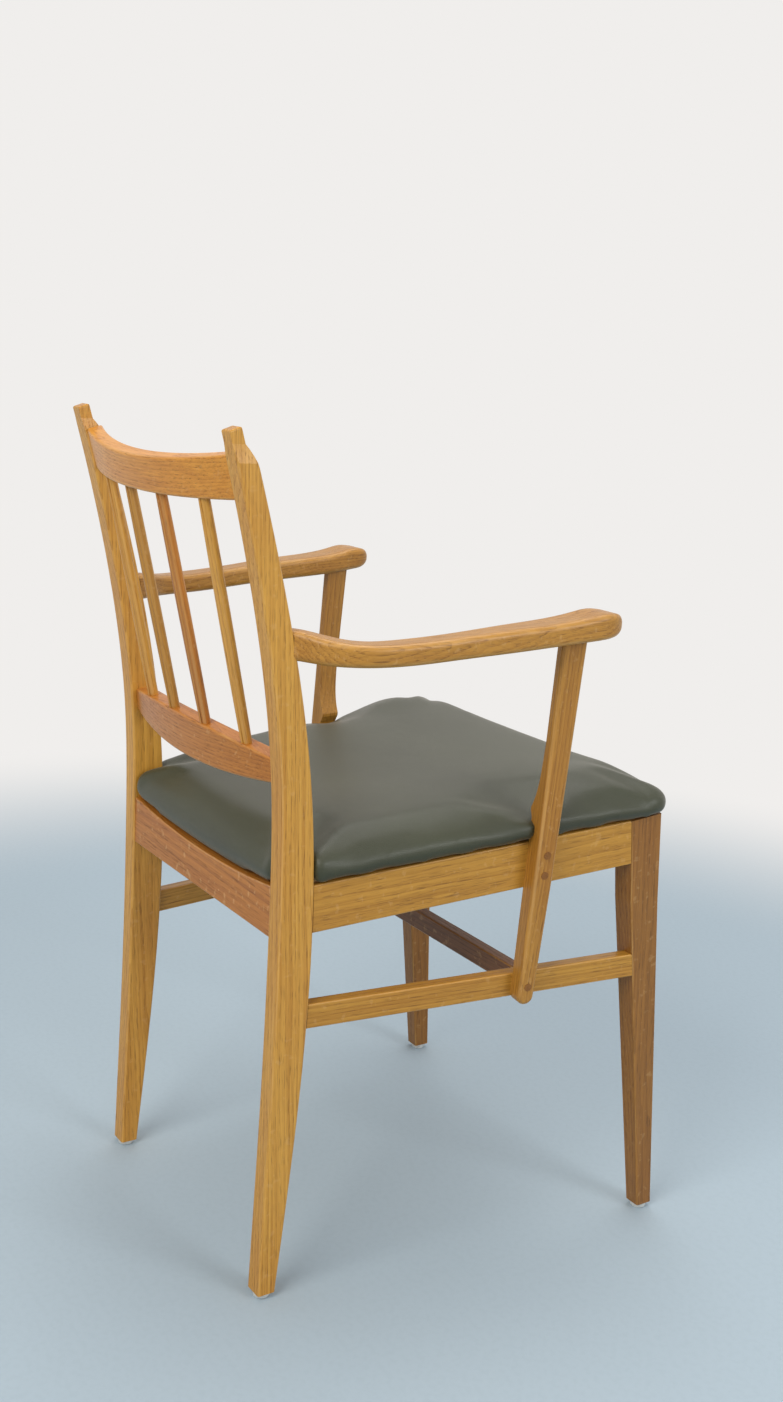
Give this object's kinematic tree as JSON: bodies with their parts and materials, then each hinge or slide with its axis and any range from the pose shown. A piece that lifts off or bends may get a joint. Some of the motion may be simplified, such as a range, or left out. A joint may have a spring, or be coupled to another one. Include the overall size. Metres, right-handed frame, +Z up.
{
  "type": "dining armchair",
  "caption": "Light oak dining armchair with swept arms on lapped supports, a spindle back between curved rails, raked tapered legs and a dished green leather seat pad.",
  "frame": {"origin": "on the floor, in the middle of the box round the whole chair", "axes": "+Z up, -Y towards the front of the seat, +X to the sitter's left"},
  "size_m": [0.4746, 0.5095, 0.7932],
  "materials": {
    "oak": "satin lacquer over golden oak",
    "plug": "satin lacquer, end grain",
    "dowel": "plain beech",
    "block": "plain hardwood",
    "plywood": "unfinished moulded plywood",
    "leather": "olive green, soft sheen",
    "glide": "white nylon"
  },
  "bodies": {
    "root": {"back_post_right": "oak", "back_post_left": "oak", "front_leg_right": "oak", "front_leg_left": "oak", "seat_rail_right": "oak", "seat_rail_left": "oak", "side_stretcher_right": "oak", "side_stretcher_left": "oak", "armrest_right": "oak", "armrest_left": "oak", "arm_support_right": "oak", "arm_support_left": "oak", "seat_rail_front": "oak", "seat_rail_rear": "oak", "cross_stretcher": "oak", "crest_rail": "oak", "lower_back_rail": "oak", "back_spindle_1": "oak", "back_spindle_2": "oak", "back_spindle_3": "oak", "back_spindle_4": "oak", "seat_pad": "leather", "seat_board": "plywood", "support_plugs_right": "plug", "support_plugs_left": "plug", "rail_dowels_right": "dowel", "rail_dowels_left": "dowel", "small_dowels_right": "dowel", "small_dowels_left": "dowel", "corner_block_rear_right": "block", "corner_block_rear_left": "block", "corner_block_front_right": "block", "corner_block_front_left": "block", "glide_rear_right": "glide", "glide_rear_left": "glide", "glide_front_right": "glide", "glide_front_left": "glide"}
  },
  "joints": []
}
